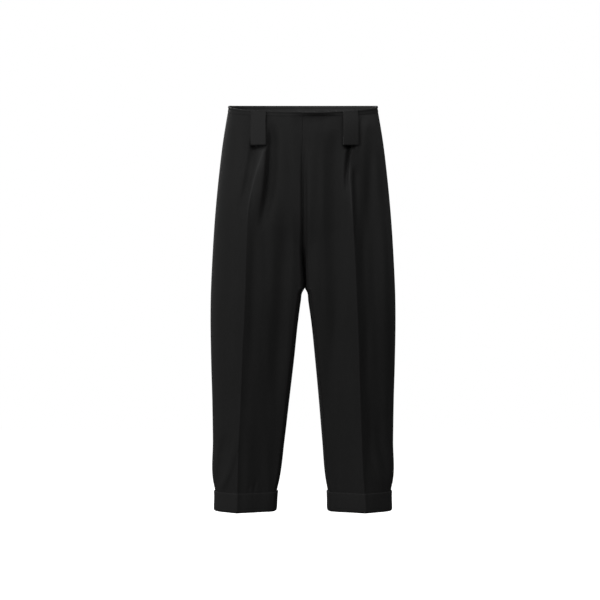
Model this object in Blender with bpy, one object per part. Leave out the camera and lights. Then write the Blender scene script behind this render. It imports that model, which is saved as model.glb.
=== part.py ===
"""Capri trousers: high waist, narrow waistband, one pleat and one wide belt loop on each front, a pressed
crease down every panel, and turn-ups. They are hollow, as they stand when somebody wears them.

Metres, +Z up. The front faces -Y and the wearer's left is +X, so the wearer's right leg is the one at -X.
The origin is the middle of the waist opening, level with the top of the side seams.

Every panel is one wall of cloth. Its outer face is a grid: the rows go down the garment and the columns go
round it, from the side seam over the crease to the middle seam, or on a leg to the inseam. "drop" is how far
below the waist a row lies, and "reach" is a distance from the plane X = 0 out towards the side seam.
"""

import bpy
import numpy as np

# Driving sizes of the cut
SIDE_LENGTH = 0.767  # waist edge to hem, down the side
CLOTH = 0.0014  # wall of one panel
SEAM_GAP = 0.0003  # between pieces that are sewn together
BAND_HEIGHT = 0.011
BAND_CLOTH = 0.0022  # the waistband is folded double
WAIST_FRONT_DIP = 0.0218  # the waist edge at the middle front is this much lower than at the sides
WAIST_BACK_RISE = 0.0110  # and at the middle back this much higher
TURN_UP_HEIGHT = 0.037
TURN_UP_CLOTH = 0.0016
LOOP_WIDTH = 0.027
LOOP_CLOTH = 0.0015
LOOP_CELLS = 4  # across a loop
LOOP_START, LOOP_END = 0.0004, 0.0775  # the drops of a loop's upper end and of its folded lower end
CROTCH = 0.346
LEG_STARTS, LEG_WHOLE = 0.090, 0.300  # between these drops the hips' section turns into the legs'

HALF_GAP = SEAM_GAP / 2
HEM_TUCK = 0.0024  # a panel ends this far above the turn-up's fold
WAIST_DEPTH = 0.098  # from the side seam to the middle front, at the waist
WAIST_SLOPE_ENDS = 0.16  # the drop where the sloping waistline no longer shows in the rows
GAP_OPENING = 0.13  # how fast a leg's middle line moves outwards below the crotch, for each metre of drop
FOLD_MARGIN = 0.02  # a fold fades over this distance from a panel's edge
TURN_UP_STIFFENS = 0.55  # the share of a fold's depth that the turn-up presses out,
TURN_UP_PRESSING = 0.012  # over this distance above its edge
SHARP_EDGE = np.radians(40)  # edges that turn more than this are shaded sharp

RIGHT, LEFT = -1, 1  # the wearer's sides, which are also the signs of X
FRONT, BACK = -1, 1  # the signs of Y
SIDE_NAMES = {RIGHT: "right", LEFT: "left"}
NAMES = {FRONT: "front", BACK: "back"}
TINY = 1e-6


def table(columns, *rows):
    """A short table as a dictionary: the name of each column, and its numbers from the top row down."""
    return dict(zip(columns.split(), np.array(rows, float).T))


# The outline from the front. middle is where the middle seam lies, and below the crotch the middle of the
# gap between the legs. gap is half of that gap.
OUTLINE = table(
    "drop outer middle gap",
    (0.000, 0.1408, 0.0000, 0.0000),
    (0.065, 0.1513, -0.0008, 0.0000),
    (0.141, 0.1600, -0.0018, 0.0000),
    (0.217, 0.1668, -0.0012, 0.0000),
    (0.293, 0.1716, 0.0012, 0.0000),
    (0.346, 0.1741, 0.0035, 0.0000),
    (0.354, 0.1744, 0.0033, 0.0045),
    (0.369, 0.1748, 0.0030, 0.0067),
    (0.407, 0.1752, 0.0031, 0.0120),
    (0.483, 0.1742, 0.0030, 0.0200),
    (0.559, 0.1722, 0.0020, 0.0280),
    (0.635, 0.1711, 0.0007, 0.0356),
    (0.711, 0.1707, -0.0009, 0.0441),
    (0.729, 0.1671, -0.0013, 0.0478),
    (0.767, 0.1672, -0.0020, 0.0498),
)
# How far the hips stand in front of the side seams and behind them, at the middle. square is the section's
# power: 2 is an ellipse, and a higher one has a flatter face and fuller sides.
HIPS = table(
    "drop front back square_front square_back",
    (0.000, 0.0980, 0.0980, 2.20, 2.15),
    (0.060, 0.1060, 0.1100, 2.50, 2.20),
    (0.120, 0.1100, 0.1260, 2.80, 2.30),
    (0.200, 0.1110, 0.1360, 3.00, 2.35),
    (0.270, 0.1080, 0.1340, 3.00, 2.35),
    (0.346, 0.1030, 0.1200, 3.00, 2.35),
)
# The same for one leg, about its own middle. inner_front and inner_back are the share of the depth that is
# left near the inseam, and corner_front and corner_back how far from the inseam the cloth turns under. outer
# is the power of the section's outer half.
LEG = table(
    "drop front back inner_front inner_back corner_front corner_back outer",
    (0.085, 0.1060, 0.1340, 0.97, 0.92, 0.006, 0.030, 2.8),
    (0.200, 0.1040, 0.1330, 0.95, 0.90, 0.006, 0.030, 3.0),
    (0.270, 0.1000, 0.1270, 0.93, 0.87, 0.007, 0.032, 3.0),
    (0.346, 0.0930, 0.1110, 0.90, 0.83, 0.008, 0.034, 3.0),
    (0.450, 0.0740, 0.0850, 0.86, 0.78, 0.008, 0.030, 2.9),
    (0.560, 0.0550, 0.0640, 0.80, 0.72, 0.008, 0.028, 2.8),
    (0.670, 0.0420, 0.0500, 0.76, 0.68, 0.007, 0.026, 2.7),
    (0.767, 0.0360, 0.0430, 0.75, 0.66, 0.007, 0.024, 2.6),
)
# How the crotch seam bends in below the hips like a J: where it starts, how square the bend is, and how far
# the cloth that spans the two legs is rounded off where it meets them.
FORK = {
    FRONT: {"top": 0.150, "power": 2.2, "rounding": 0.006},
    BACK: {"top": 0.205, "power": 2.5, "rounding": 0.016},
}
# The reach of each crease. On the hips the front creases run up into the pleats.
CREASE = table(
    "drop front_right front_left back",
    (0.000, 0.0810, 0.0865, 0.0820),
    (0.085, 0.0730, 0.0870, 0.0860),
    (0.139, 0.0877, 0.0862, 0.0890),
    (0.194, 0.0995, 0.0897, 0.0920),
    (0.259, 0.1035, 0.0937, 0.0960),
    (0.346, 0.1062, 0.0982, 0.0990),
    (0.450, 0.1113, 0.1030, 0.1040),
    (0.560, 0.1162, 0.1068, 0.1090),
    (0.670, 0.1213, 0.1112, 0.1140),
    (0.767, 0.1236, 0.1172, 0.1170),
)
# The height of the pressed creases, like the ridge of a roof, and how far each side of the roof reaches.
ROOF = table(
    "drop front back spread",
    (0.085, 0.0040, 0.0000, 0.030),
    (0.200, 0.0050, 0.0000, 0.030),
    (0.270, 0.0058, 0.0015, 0.032),
    (0.346, 0.0070, 0.0040, 0.036),
    (0.450, 0.0110, 0.0080, 0.050),
    (0.560, 0.0160, 0.0120, 0.065),
    (0.670, 0.0190, 0.0150, 0.070),
    (0.767, 0.0200, 0.0150, 0.070),
)
ROOF_POWER = 1.3
FRONT_CREASE_OPENS = 0.05  # a front crease comes out of its pleat over this drop

# The main folds. Each runs from its top drop to its end drop through three reaches, and fades at both ends.
# out and into are its widths on its sides towards the side seam and towards the middle; depth is negative
# for a ridge. On each front they are the pleat, the hip, the thigh, beside the crease and above the turn-up,
# and on each back below the seat, the outside of the thigh and down the leg. The right pleat has a fold for
# its inner edge and one that opens below the loop.
FOLDS = table(
    "side face top end fade_in fade_out reach_top reach_middle reach_end out into depth",
    (RIGHT, FRONT, 0.030, 0.250, 0.03, 0.08, 0.0600, 0.0625, 0.0800, 0.010, 0.024, 0.0095),
    (RIGHT, FRONT, 0.055, 0.225, 0.03, 0.08, 0.0860, 0.0985, 0.1180, 0.013, 0.009, 0.0070),
    (RIGHT, FRONT, 0.030, 0.190, 0.04, 0.08, 0.1230, 0.1270, 0.1330, 0.012, 0.014, 0.0022),
    (RIGHT, FRONT, 0.160, 0.600, 0.14, 0.16, 0.0300, 0.0390, 0.0560, 0.022, 0.017, 0.0060),
    (RIGHT, FRONT, 0.180, 0.600, 0.10, 0.20, 0.0850, 0.0920, 0.0990, 0.013, 0.014, 0.0030),
    (RIGHT, FRONT, 0.610, 0.738, 0.05, 0.04, 0.1290, 0.1420, 0.1570, 0.010, 0.010, -0.0026),
    (LEFT, FRONT, 0.050, 0.210, 0.03, 0.07, 0.0890, 0.0810, 0.0780, 0.008, 0.013, 0.0085),
    (LEFT, FRONT, 0.030, 0.260, 0.05, 0.10, 0.1200, 0.1225, 0.1260, 0.014, 0.022, 0.0034),
    (LEFT, FRONT, 0.035, 0.560, 0.06, 0.22, 0.0560, 0.0580, 0.0720, 0.020, 0.022, 0.0065),
    (LEFT, FRONT, 0.110, 0.790, 0.16, 0.10, 0.1080, 0.1210, 0.1330, 0.032, 0.020, 0.0090),
    (LEFT, FRONT, 0.630, 0.738, 0.05, 0.04, 0.1280, 0.1440, 0.1600, 0.012, 0.012, -0.0018),
    (RIGHT, BACK, 0.240, 0.470, 0.06, 0.14, 0.0180, 0.0380, 0.0740, 0.020, 0.016, 0.0052),
    (RIGHT, BACK, 0.290, 0.560, 0.08, 0.16, 0.1290, 0.1330, 0.1400, 0.016, 0.020, 0.0038),
    (RIGHT, BACK, 0.320, 0.660, 0.06, 0.14, 0.0480, 0.0560, 0.0800, 0.016, 0.014, 0.0034),
    (LEFT, BACK, 0.230, 0.450, 0.06, 0.12, 0.0200, 0.0440, 0.0800, 0.018, 0.016, 0.0046),
    (LEFT, BACK, 0.300, 0.600, 0.08, 0.18, 0.1330, 0.1350, 0.1410, 0.018, 0.018, 0.0042),
    (LEFT, BACK, 0.350, 0.700, 0.06, 0.14, 0.0520, 0.0620, 0.0840, 0.014, 0.016, 0.0030),
)

# The drops of the rows, and how many cells each side of the crease takes
HIP_DROPS = (0.035, 0.058, 0.080, 0.100, 0.120, 0.140, 0.160, 0.182)
LEG_DROPS = (0.354, 0.369, 0.400, 0.445, 0.500, 0.560, 0.620, 0.675, 0.711)
TURN_UP_DROPS = (SIDE_LENGTH - TURN_UP_HEIGHT, SIDE_LENGTH - TURN_UP_HEIGHT / 2)
BEND_TOP, BEND_ROWS, BEND_CROWDING = 0.205, 7, 0.8  # rows crowd from here down to the crotch
CELLS = {FRONT: (9, 11), BACK: (5, 6)}


def follow(which, name, drop):
    """The smooth curve through a table's column: a cubic between rows that takes its slopes from them."""
    drops, values = which["drop"], which[name]
    slopes = np.gradient(values, drops)
    drop = np.clip(drop, drops[0], drops[-1])
    i = np.clip(np.searchsorted(drops, drop) - 1, 0, len(drops) - 2)
    step = drops[i + 1] - drops[i]
    t = (drop - drops[i]) / step
    start = (1 + 2 * t) * (1 - t) ** 2 * values[i] + t * (1 - t) ** 2 * step * slopes[i]
    end = t * t * (3 - 2 * t) * values[i + 1] + t * t * (t - 1) * step * slopes[i + 1]
    return start + end


def eased(share):
    """0 below 0, 1 above 1, and a smooth step between."""
    share = np.clip(share, 0, 1)
    return share * share * (3 - 2 * share)


def seam_depth(face, drop):
    """How far the middle seam lies in front of the side seams, or behind them. It bends in like a J, and at
    the crotch it has come all the way under, between the legs."""
    fork = FORK[face]
    share = np.clip((drop - fork["top"]) / (CROTCH - fork["top"]), 0, 1)
    return follow(HIPS, NAMES[face], drop) * (1 - share ** fork["power"]) ** (1 / fork["power"])


def bulge(share, square):
    """The depth of a section of the given power, from 1 in its middle to 0 at its ends."""
    return (1 - np.clip(np.abs(share), 0, 1) ** square) ** (1 / square)


def crease_reach(side, face, drop):
    """The reach of a panel's crease."""
    return follow(CREASE, "back" if face == BACK else "front_" + SIDE_NAMES[side], drop)


def edges(side, drop):
    """The reach of a panel's side seam, and of its inner edge: the middle seam, or the inseam on a leg."""
    inner = side * follow(OUTLINE, "middle", drop) + follow(OUTLINE, "gap", np.maximum(drop, CROTCH))
    return follow(OUTLINE, "outer", drop), inner


def fold_depth(side, face, reach, drop):
    """How far the folds of one panel sink into it, as a sum over the table of folds."""
    total = np.zeros(np.broadcast(reach, drop).shape)
    for i in np.flatnonzero((FOLDS["side"] == side) & (FOLDS["face"] == face)):
        fold = {name: values[i] for name, values in FOLDS.items()}
        t = np.clip((drop - fold["top"]) / (fold["end"] - fold["top"]), 0, 1)
        line = (
            (1 - t) * (1 - 2 * t) * fold["reach_top"]
            + 4 * t * (1 - t) * fold["reach_middle"]
            + t * (2 * t - 1) * fold["reach_end"]
        )
        away = reach - line
        across = np.clip(away / np.where(away > 0, fold["out"], fold["into"]), -1, 1)
        fade = eased((drop - fold["top"]) / fold["fade_in"]) * eased((fold["end"] - drop) / fold["fade_out"])
        total += fold["depth"] * (1 - across**2) ** 2 * fade
    pressed = eased((drop - TURN_UP_DROPS[0]) / TURN_UP_PRESSING + 1)
    return total * (1 - TURN_UP_STIFFENS * pressed)


def crease_roof(side, face, reach, drop):
    """The pressed crease: a roof along the crease's line, which ends at its spread or at the panel's edge."""
    outer, inner = edges(side, drop)
    away = reach - crease_reach(side, face, drop)
    limit = np.where(away > 0, outer - reach + away, reach - away - inner)
    spread = np.minimum(follow(ROOF, "spread", drop), np.maximum(limit, TINY))
    opens = eased((drop - ROOF["drop"][0]) / FRONT_CREASE_OPENS) if face == FRONT else 1
    return opens * follow(ROOF, NAMES[face], drop) * np.clip(1 - np.abs(away) / spread, 0, 1) ** ROOF_POWER


def leg_section(side, face, reach, drop):
    """One leg's depth. The outer half is a superellipse. The inner half falls off gently and ends in a
    quarter of an ellipse at the inseam, because the two thighs hang flat beside each other."""
    outer, inner = edges(side, drop)
    middle = side * follow(OUTLINE, "middle", drop) + GAP_OPENING * np.maximum(drop - CROTCH, 0)
    centre = (outer + middle) / 2
    share = np.where(reach < centre, (centre - reach) / (centre - middle), (reach - centre) / (outer - centre))
    from_edge = np.clip((reach - inner) / follow(LEG, "corner_" + NAMES[face], drop), 0, 1)
    corner = np.sqrt(1 - (1 - from_edge) ** 2)
    inner_half = (1 - (1 - follow(LEG, "inner_" + NAMES[face], drop)) * share**2) * corner
    section = np.where(reach < centre, inner_half, bulge(share, follow(LEG, "outer", drop)))
    return follow(LEG, NAMES[face], drop) * section


def smooth_larger(a, b, rounding):
    """The larger of two depths, with the corner where they cross rounded off."""
    near = np.clip(1 - np.abs(a - b) / np.maximum(rounding, TINY), 0, 1)
    return np.maximum(a, b) + near**2 * rounding / 4


def hips_section(side, face, reach, drop):
    """The hips' depth, from the middle seam to the side seam."""
    outer, inner = edges(side, drop)
    square = follow(HIPS, "square_" + NAMES[face], drop)
    return follow(HIPS, NAMES[face], drop) * bulge((reach - inner) / (outer - inner), square)


def depth_at(side, face, reach, drop):
    """How far the cloth stands in front of the side seams, or behind them. High up it is the hips' section.
    Lower down it is the leg's section, with the cloth bridging between the legs at the depth of the middle
    seam. The pressed crease stands on it, and the folds sink into it."""
    outer, inner = edges(side, drop)
    leg, seam = leg_section(side, face, reach, drop), seam_depth(face, drop)
    crown = follow(LEG, NAMES[face], drop)
    inward = eased(1 - 2 * (reach - inner) / (outer - inner))
    bridge = np.where(seam > crown, crown + (seam - crown) * inward, seam)
    most = FORK[face]["rounding"]
    rounding = most * eased(2 * inward) * np.clip(seam / most, 0, 1)
    split = np.where(inward > 0, smooth_larger(leg, bridge, rounding), leg)
    legs = eased((drop - LEG_STARTS) / (LEG_WHOLE - LEG_STARTS))
    near_edge = np.minimum(outer - reach, np.where(drop < CROTCH, 1, reach - inner))
    folds = fold_depth(side, face, reach, drop) * eased(near_edge / FOLD_MARGIN)
    section = (1 - legs) * hips_section(side, face, reach, drop) + legs * split
    return section + crease_roof(side, face, reach, drop) - folds


def waist_slope(y, drop):
    """How much higher than its drop a point lies: the waistline dips at the front and rises at the back."""
    fade = np.clip(1 - drop / WAIST_SLOPE_ENDS, 0, 1) ** 2
    return fade * np.where(y < 0, WAIST_FRONT_DIP, WAIST_BACK_RISE) * y / WAIST_DEPTH


def place(side, face, reach, drop):
    """The points of one panel's outer face at these reaches and drops."""
    y = face * depth_at(side, face, reach, drop)
    z = -drop + waist_slope(y, drop)
    return np.stack(np.broadcast_arrays(side * reach, y, z), axis=-1)


def panel_reaches(side, face, drops):
    """The reach of every grid point. Cells crowd where the cloth bends most, at the side seam and inseam."""
    outside, inside = CELLS[face]
    outer, inner = (value[:, None] for value in edges(side, drops))
    crease = crease_reach(side, face, drops)[:, None]
    to_crease = 1 - np.cos(np.linspace(0, np.pi / 2, outside + 1))[None, :]
    t = np.linspace(0, 1, inside + 1)[None, 1:]
    share = eased((drops - BEND_TOP) / (CROTCH - BEND_TOP))[:, None]
    to_inner = (1 - share) * t + share * np.sin(t * np.pi / 2)
    return np.concatenate([outer - (outer - crease) * to_crease, crease - (crease - inner) * to_inner], axis=1)


def rows_between(top, bottom):
    """The drops of a panel's rows, closest together at the crotch, where the seam turns under."""
    bend = np.sin(np.linspace(0, np.pi / 2, BEND_ROWS + 1)) ** BEND_CROWDING
    bend_drops = BEND_TOP + (CROTCH - BEND_TOP) * bend
    drops = np.concatenate([[top], HIP_DROPS, bend_drops, LEG_DROPS, TURN_UP_DROPS, [bottom]])
    return drops[(drops >= top) & (drops <= bottom)]


def outward(points, side, face):
    """The unit normal of each grid point, pointing out of the garment."""
    down, across = np.gradient(points, axis=0), np.gradient(points, axis=1)
    normals = np.cross(down, across) * side * face
    return normals / np.linalg.norm(normals, axis=-1, keepdims=True)


def panel(side, face):
    """The outer and inner face of one panel, from the waistband to just above the hem's fold."""
    drops = rows_between(BAND_HEIGHT + SEAM_GAP, SIDE_LENGTH - HEM_TUCK)
    reaches = panel_reaches(side, face, drops)
    points = place(side, face, reaches, drops[:, None])
    normals = outward(points, side, face)
    on_leg = drops >= CROTCH - TINY
    # At the side seam and the inseam both panels' edges face straight out to the side, so they are parallel.
    normals[:, 0] = (side, 0, 0)
    normals[on_leg, -1] = (-side, 0, 0)
    # At the middle seam a wall's thickness stays on its own side of the plane between the two legs.
    normals[~on_leg, -1, 0] = -side * np.abs(normals[~on_leg, -1, 0])
    points[:, 0, 1] += face * HALF_GAP
    points[on_leg, -1, 1] += face * HALF_GAP
    points[:, -1, 0] += side * HALF_GAP
    return points, points - CLOTH * normals


def solid(name, outer, inner, material, ring=False):
    """A closed wall between two grids of the same size. A ring's last column joins its first."""
    rows, columns = outer.shape[:2]
    index = np.arange(rows * columns).reshape(rows, columns)
    if ring:
        index = np.concatenate([index, index[:, :1]], axis=1)
    inside = index + rows * columns

    def cells(a, b):
        """The quads between two strips of vertex numbers."""
        return np.stack([a[:-1], a[1:], b[1:], b[:-1]], axis=-1).reshape(-1, 4)

    faces = [cells(index[i], index[i + 1]) for i in range(rows - 1)]
    faces += [cells(inside[i + 1], inside[i]) for i in range(rows - 1)]
    faces += [cells(inside[0], index[0]), cells(index[-1], inside[-1])]
    if not ring:
        faces += [cells(index[:, 0], inside[:, 0]), cells(inside[:, -1], index[:, -1])]
    points, faces = np.concatenate([outer, inner]).reshape(-1, 3), np.concatenate(faces)
    a, b, c, d = (points[faces[:, i]] for i in range(4))
    volume = (a * (np.cross(b, c) + np.cross(c, d))).sum()
    mesh = bpy.data.meshes.new(name)
    mesh.from_pydata(points.tolist(), [], (faces if volume > 0 else faces[:, ::-1]).tolist())
    mesh.shade_smooth()
    mesh.set_sharp_from_angle(angle=SHARP_EDGE)
    mesh.materials.append(material)
    shape = bpy.data.objects.new(name, mesh)
    bpy.context.scene.collection.objects.link(shape)
    return shape


def cloth(name, colour, roughness):
    material = bpy.data.materials.new(name)
    material.use_nodes = True
    shader = material.node_tree.nodes["Principled BSDF"]
    shader.inputs["Base Color"].default_value = (*colour, 1)
    shader.inputs["Roughness"].default_value = roughness
    shader.inputs["Metallic"].default_value = 0.0
    return material


def outline_round(face, drops):
    """The outer face from the right side seam over the front or the back to the left one, at each drop."""
    right = place(RIGHT, face, panel_reaches(RIGHT, face, drops), drops[:, None])
    left = place(LEFT, face, panel_reaches(LEFT, face, drops), drops[:, None])
    return np.concatenate([right, left[:, -2::-1]], axis=1)


def waistband(face, material):
    """Half of the narrow band on top of the panels, from side seam to side seam."""
    drops = np.array([0.0, BAND_HEIGHT / 2, BAND_HEIGHT])
    points = outline_round(face, drops)
    normals = outward(points, RIGHT, face)
    normals[:, 0], normals[:, -1] = (RIGHT, 0, 0), (LEFT, 0, 0)
    points[:, [0, -1], 1] += face * HALF_GAP
    proud = (BAND_CLOTH - CLOTH) / 2
    outer, inner = points + proud * normals, points - (BAND_CLOTH - proud) * normals
    return solid("waistband_" + NAMES[face], outer, inner, material)


def leg_round(side, drops):
    """The outer face all round one leg, at each drop: over the front from the side seam, then back behind."""
    front = place(side, FRONT, panel_reaches(side, FRONT, drops), drops[:, None])
    back = place(side, BACK, panel_reaches(side, BACK, drops), drops[:, None])
    return np.concatenate([front, back[:, -2:0:-1]], axis=1)


def turn_up(side, material):
    """The band of cloth turned up round the hem: its wall, and the fold that closes under the panels."""
    fold, hem = SIDE_LENGTH - HEM_TUCK + SEAM_GAP, SIDE_LENGTH
    points = leg_round(side, np.array([*TURN_UP_DROPS, hem]))
    wrapped = np.concatenate([points[:, -1:], points, points[:, :1]], axis=1)
    across = (wrapped[:, 2:] - wrapped[:, :-2]) / 2
    down = np.gradient(points, axis=0)
    normals = np.cross(down, across) * side * FRONT
    normals /= np.linalg.norm(normals, axis=-1, keepdims=True)
    outer = points + (SEAM_GAP + TURN_UP_CLOTH) * normals
    inner = points + SEAM_GAP * normals
    # The wall's inner face stops at the fold, runs in under the panel, and goes down to the hem.
    inner[-1, :, 2] = -fold
    under = points[-1] - CLOTH * normals[-1]
    shelf, lip = under.copy(), under.copy()
    shelf[:, 2], lip[:, 2] = -fold, -hem
    face_out, face_in = np.concatenate([outer, lip[None]]), np.concatenate([inner, shelf[None]])
    return solid("turn_up_" + SIDE_NAMES[side], face_out, face_in, material, ring=True)


# A loop from its upper end at the waist edge to its folded lower end and back up behind: how far each point
# of its middle line lies below the waist edge, as a share of the loop's length, and how far off the panel.
LOOP_LINE = table(
    "share off",
    (0.000, 0.0014),
    (0.130, 0.0018),
    (0.350, 0.0034),
    (0.650, 0.0044),
    (0.920, 0.0046),
    (0.978, 0.0041),
    (1.000, 0.0029),
    (0.978, 0.0017),
    (0.900, 0.0013),
    (0.760, 0.0013),
)


def belt_loop(side, material):
    """A wide strip sewn in at the waist edge and, folded under, to the front at its lower end. A belt goes
    behind it."""
    reach = crease_reach(side, FRONT, 0.0) + LOOP_WIDTH * np.linspace(0.5, -0.5, LOOP_CELLS + 1)
    share, off = LOOP_LINE["share"], LOOP_LINE["off"]
    drop = (LOOP_START + share * (LOOP_END - LOOP_START))[:, None]
    y = -hips_section(side, FRONT, reach[None, :], drop)
    z = -drop + waist_slope(y, drop)
    base = np.stack(np.broadcast_arrays(side * reach[None, :], y, z), axis=-1)
    across = np.gradient(base, axis=1)
    normals = np.cross(np.broadcast_to((0.0, 0.0, -1.0), across.shape), across) * side * FRONT
    normals /= np.linalg.norm(normals, axis=-1, keepdims=True)
    line = base + off[:, None, None] * normals
    # The strip's own faces lie half its thickness to either side of this line, square to it in the side view.
    along = np.gradient(line, axis=0)
    along -= (along * across).sum(-1, keepdims=True) * across / (across * across).sum(-1, keepdims=True)
    facing = np.cross(along, across) * side * FRONT
    facing /= np.linalg.norm(facing, axis=-1, keepdims=True)
    name = "belt_loop_" + SIDE_NAMES[side]
    return solid(name, line + LOOP_CLOTH / 2 * facing, line - LOOP_CLOTH / 2 * facing, material)


def main():
    for old in list(bpy.data.objects):
        bpy.data.objects.remove(old)
    suiting = cloth("suiting", (0.012, 0.012, 0.012), 0.85)
    for side in (RIGHT, LEFT):
        for face in (FRONT, BACK):
            outer, inner = panel(side, face)
            solid(f"{NAMES[face]}_{SIDE_NAMES[side]}", outer, inner, suiting)
        turn_up(side, suiting)
        belt_loop(side, suiting)
    for face in (FRONT, BACK):
        waistband(face, suiting)


main()
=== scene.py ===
# %% [markdown]
# # Black capri trousers, filled out as if worn
# A pair of cropped trousers is four long panels of cloth, a narrow band and two hems that are turned up
# outside. The cloth hangs from the waist, swells over the hips and narrows down each leg. What makes it
# read as tailoring is the pressed crease down every panel, the pleat that each front crease grows out of,
# and a belt loop laid over the pleat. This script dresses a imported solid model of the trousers. Each solid
# wall is hidden, and a fine shell stands for it.

# %% The frame
import math

import bpy
import numpy as np
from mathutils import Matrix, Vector


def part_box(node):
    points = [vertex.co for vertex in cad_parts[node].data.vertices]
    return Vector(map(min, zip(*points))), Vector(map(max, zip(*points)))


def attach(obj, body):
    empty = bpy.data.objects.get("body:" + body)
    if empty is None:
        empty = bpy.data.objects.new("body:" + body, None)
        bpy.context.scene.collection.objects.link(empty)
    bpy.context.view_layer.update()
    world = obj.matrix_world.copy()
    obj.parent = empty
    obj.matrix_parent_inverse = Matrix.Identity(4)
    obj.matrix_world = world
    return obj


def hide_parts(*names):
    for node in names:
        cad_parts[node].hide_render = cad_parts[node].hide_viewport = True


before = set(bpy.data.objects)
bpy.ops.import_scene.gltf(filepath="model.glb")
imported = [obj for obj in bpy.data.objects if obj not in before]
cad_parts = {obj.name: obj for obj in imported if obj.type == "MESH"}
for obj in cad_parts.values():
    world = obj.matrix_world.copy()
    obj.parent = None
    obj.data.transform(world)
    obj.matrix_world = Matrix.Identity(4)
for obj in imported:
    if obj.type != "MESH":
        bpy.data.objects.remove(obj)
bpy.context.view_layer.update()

# %% [markdown]
# ## Sizes
# Trousers are drafted from a few measures: the waist, the hips, the rise, the knee and the hem. The same
# idea works here. A short table has a row for each height that a cutter would measure at, and a smooth
# curve joins the rows. Heights that the solid model already fixes are read from it, so that the shells
# cannot drift away from it.

# %% Named sizes
RIGHT, LEFT = -1, 1  # the wearer's sides, which are also the signs of X
FRONT, BACK = -1, 1  # the signs of Y
SIDE_NAMES = {RIGHT: "right", LEFT: "left"}
FACE_NAMES = {FRONT: "front", BACK: "back"}

SIDE_LENGTH = -float(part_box("turn_up_right")[0][2])
TURN_UP_TOP = -float(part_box("turn_up_right")[1][2])
BAND_HEIGHT = 0.011
WAIST_FRONT_DIP, WAIST_BACK_RISE, WAIST_DEPTH, WAIST_SLOPE_ENDS = 0.0218, 0.0110, 0.098, 0.16
CROTCH = 0.346
FORK_TOP, FORK_POWER = {FRONT: 0.150, BACK: 0.205}, {FRONT: 2.2, BACK: 2.5}
LEG_STARTS, LEG_WHOLE = 0.090, 0.300
TURN_UP_STIFFENS = 0.55  # the share of a fold's depth that the turn-up presses out
STIFFENS_ABOVE = 0.012  # it begins this far above the turn-up
BRIDGE_ROUNDING = {FRONT: 0.006, BACK: 0.016}
FRONT_CREASE_OPENS = 0.05  # a front crease comes out of its pleat over this drop
CREASE_TIP, PINCH_STEEP, PINCH_SLOW = 0.0005, 0.0035, 0.014
CREASE_SETS = {RIGHT: 0.060, LEFT: 0.105}  # the drop below which a front crease begins to be sharp
CREASE_SETTLES = 0.03  # it grows sharp over this
ROOF_POWER, LEAST_SPREAD = 1.3, 1e-4
GAP_OPENS = 0.13  # the even slope of the gap between the legs that a leg's middle line follows
FOLD_MARGIN = 0.014  # the folds fade out this near a panel's edges
CLOTH = 0.0009
HEM_TUCK = 0.0024  # a panel ends this far above the fold of its turn-up
print(f"side length {SIDE_LENGTH:.3f} m, turn-ups {SIDE_LENGTH - TURN_UP_TOP:.3f} m high")


def table(columns, *rows):
    """A short table as a dictionary: the name of each column, and its numbers from the top row to the
    bottom one."""
    return dict(zip(columns.split(), np.array(rows, float).T))


def follow(which, name, drop):
    """The smooth curve through a table's column: a cubic between rows, whose slopes come from the rows
    around it."""
    drops, values = which["drop"], which[name]
    slopes = np.gradient(values, drops)
    drop = np.clip(drop, drops[0], drops[-1])
    i = np.clip(np.searchsorted(drops, drop) - 1, 0, len(drops) - 2)
    step = drops[i + 1] - drops[i]
    t = (drop - drops[i]) / step
    start = (1 + 2 * t) * (1 - t) ** 2 * values[i] + t * (1 - t) ** 2 * step * slopes[i]
    end = t * t * (3 - 2 * t) * values[i + 1] + t * t * (t - 1) * step * slopes[i + 1]
    return start + end


def eased(share):
    """0 below 0, 1 above 1, and the smooth step 3t^2 - 2t^3 between."""
    share = np.clip(share, 0, 1)
    return share * share * (3 - 2 * share)


# %% [markdown]
# ## The outline and the sections
# Every point of a panel has two parameters. "drop" is how far below the waist it lies, and "reach" is how
# far it is from the plane between the legs. The outline tables say how wide the trousers are at a drop, and
# the section tables how deep. A section is a superellipse: the power 2 gives an ellipse, and a higher power
# a flatter front with quicker turns at the sides, which is how cloth lies over hips.

# %% Tables of the form
OUTLINE = table(
    "drop outer middle gap",
    (0.000, 0.1408, 0.0000, 0.0000),
    (0.065, 0.1513, -0.0008, 0.0000),
    (0.141, 0.1600, -0.0018, 0.0000),
    (0.217, 0.1668, -0.0012, 0.0000),
    (0.293, 0.1716, 0.0012, 0.0000),
    (0.346, 0.1741, 0.0035, 0.0000),
    (0.354, 0.1744, 0.0033, 0.0045),
    (0.369, 0.1748, 0.0030, 0.0067),
    (0.407, 0.1752, 0.0031, 0.0120),
    (0.483, 0.1742, 0.0030, 0.0200),
    (0.559, 0.1722, 0.0020, 0.0280),
    (0.635, 0.1711, 0.0007, 0.0356),
    (0.711, 0.1707, -0.0009, 0.0441),
    (0.729, 0.1671, -0.0013, 0.0478),
    (0.767, 0.1672, -0.0020, 0.0498),
)
HIPS = table(
    "drop front back square_front square_back",
    (0.000, 0.0980, 0.0980, 2.20, 2.15),
    (0.060, 0.1060, 0.1100, 2.50, 2.20),
    (0.120, 0.1100, 0.1260, 2.80, 2.30),
    (0.200, 0.1110, 0.1360, 3.00, 2.35),
    (0.270, 0.1080, 0.1340, 3.00, 2.35),
    (0.346, 0.1030, 0.1200, 3.00, 2.35),
)
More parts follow.
